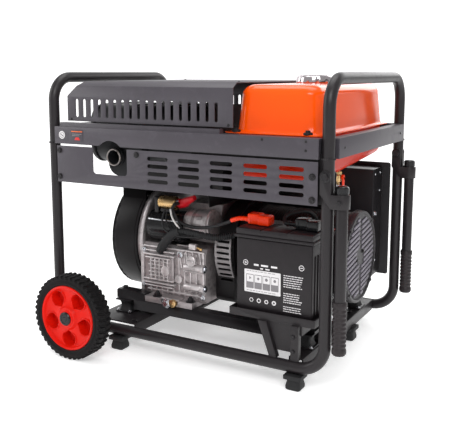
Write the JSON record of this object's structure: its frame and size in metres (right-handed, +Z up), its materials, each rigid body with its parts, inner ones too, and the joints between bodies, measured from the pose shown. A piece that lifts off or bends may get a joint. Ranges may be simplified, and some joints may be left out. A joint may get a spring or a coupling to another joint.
{
  "type": "engine driven welder",
  "caption": "Open tubular frame on wheels and feet carrying a petrol engine, alternator, fuel tank, starting battery and weld control box, with fold-down handles.",
  "frame": {"origin": "centre of the bounding box on the floor that the feet and wheels stand on", "axes": "+X along the length towards the folding handles, -Y towards the battery side, +Z up"},
  "size_m": [0.8168, 0.78, 0.6945],
  "materials": {
    "frame_paint": "satin charcoal powder coat",
    "panel_paint": "satin charcoal powder coat on folded sheet",
    "black_paint": "semi-gloss black paint",
    "mount_rubber": "moulded black rubber",
    "cast_aluminium": "as-cast aluminium with a light blasted grain",
    "machined_steel": "machined steel",
    "muffler_steel": "heat-proof black paint on pressed steel",
    "solenoid_plating": "yellow zinc plating",
    "black_plastic": "moulded black plastic",
    "carburettor_zinc": "die-cast zinc",
    "tank_paint": "high gloss orange enamel",
    "cap_chrome": "bright chrome plate",
    "valve_brass": "turned brass",
    "red_plastic": "glossy red plastic",
    "hose_rubber": "smooth black rubber",
    "red_cable": "red insulation",
    "key_steel": "nickel plated steel",
    "grip_rubber": "ribbed black grip rubber",
    "tyre_rubber": "solid tyre rubber with block tread",
    "rim_paint": "bright red gloss paint"
  },
  "bodies": {
    "root": {"left_hoop": "frame_paint", "right_hoop": "frame_paint", "upper_rails": "frame_paint", "left_cross_member": "frame_paint", "right_cross_member": "frame_paint", "battery_tray": "frame_paint", "wheel_bracket_near": "frame_paint", "wheel_bracket_far": "frame_paint", "heat_shield": "panel_paint", "side_panel": "panel_paint", "control_box": "panel_paint", "control_panel": "panel_paint", "engine_subframe": "black_paint", "fan_housing": "black_paint", "starter_motor": "black_paint", "alternator_end_cover": "black_paint", "foot_near_left": "mount_rubber", "foot_near_right": "mount_rubber", "foot_far_left": "mount_rubber", "foot_far_right": "mount_rubber", "isolator_near_left": "mount_rubber", "isolator_near_right": "mount_rubber", "isolator_far_left": "mount_rubber", "isolator_far_right": "mount_rubber", "crankcase": "cast_aluminium", "cylinder": "cast_aluminium", "alternator_front": "cast_aluminium", "rocker_cover": "machined_steel", "alternator_body": "machined_steel", "muffler": "muffler_steel", "starter_solenoid": "solenoid_plating", "oil_dipstick": "black_plastic", "air_filter": "black_plastic", "battery_case": "black_plastic", "battery_lid": "black_plastic", "negative_cover": "black_plastic", "weld_terminal_negative": "black_plastic", "carburettor": "carburettor_zinc", "fuel_tank": "tank_paint", "fuel_valve": "valve_brass", "positive_cover": "red_plastic", "weld_terminal_positive": "red_plastic", "fuel_hose": "hose_rubber", "negative_cable": "hose_rubber", "positive_cable": "red_cable"},
    "near_wheel": {"tyre_near": "tyre_rubber", "rim_near": "rim_paint"},
    "far_wheel": {"tyre_far": "tyre_rubber", "rim_far": "rim_paint"},
    "near_handle": {"handle_near": "frame_paint", "grip_near": "grip_rubber"},
    "far_handle": {"handle_far": "frame_paint", "grip_far": "grip_rubber"},
    "crank_assembly": {"crankshaft": "machined_steel", "flywheel": "machined_steel"},
    "tank_cap": {"fuel_cap": "cap_chrome"},
    "valve_lever": {"fuel_valve_lever": "red_plastic"},
    "current_dial": {"current_knob": "black_plastic"},
    "key": {"ignition_key": "key_steel"},
    "breaker": {"breaker_lever": "black_plastic"}
  },
  "joints": [
    {"name": "near_wheel_spin", "type": "hinge", "parent": "root", "child": "near_wheel", "pos_m": [-0.25543, -0.362, 0.1045], "axis": [0, 1, 0], "continuous": true},
    {"name": "far_wheel_spin", "type": "hinge", "parent": "root", "child": "far_wheel", "pos_m": [-0.25543, 0.362, 0.1045], "axis": [0, 1, 0], "continuous": true},
    {"name": "near_handle_fold", "type": "hinge", "parent": "root", "child": "near_handle", "pos_m": [0.35957, -0.256, 0.48], "axis": [0, -1, 0], "range_deg": [0, 90]},
    {"name": "far_handle_fold", "type": "hinge", "parent": "root", "child": "far_handle", "pos_m": [0.35957, 0.256, 0.48], "axis": [0, -1, 0], "range_deg": [0, 90]},
    {"name": "crank_spin", "type": "hinge", "parent": "root", "child": "crank_assembly", "pos_m": [0.08457, 0, 0.248], "axis": [1, 0, 0], "continuous": true},
    {"name": "tank_cap_twist", "type": "hinge", "parent": "root", "child": "tank_cap", "pos_m": [0.22057, 0, 0.68], "axis": [0, 0, 1], "range_deg": [0, 90]},
    {"name": "valve_lever_turn", "type": "hinge", "parent": "root", "child": "valve_lever", "pos_m": [0.31457, -0.044, 0.44742], "axis": [1, 0, 0], "range_deg": [0, 90]},
    {"name": "current_dial_turn", "type": "hinge", "parent": "root", "child": "current_dial", "pos_m": [0.13458, 0.26, 0.392], "axis": [0, 1, 0], "range_deg": [0, 270]},
    {"name": "key_turn", "type": "hinge", "parent": "root", "child": "key", "pos_m": [0.02457, 0.26, 0.392], "axis": [0, 1, 0], "range_deg": [0, 90]},
    {"name": "breaker_flip", "type": "hinge", "parent": "root", "child": "breaker", "pos_m": [0.24657, 0.2556, 0.392], "axis": [1, 0, 0], "range_deg": [0, 50]}
  ]
}
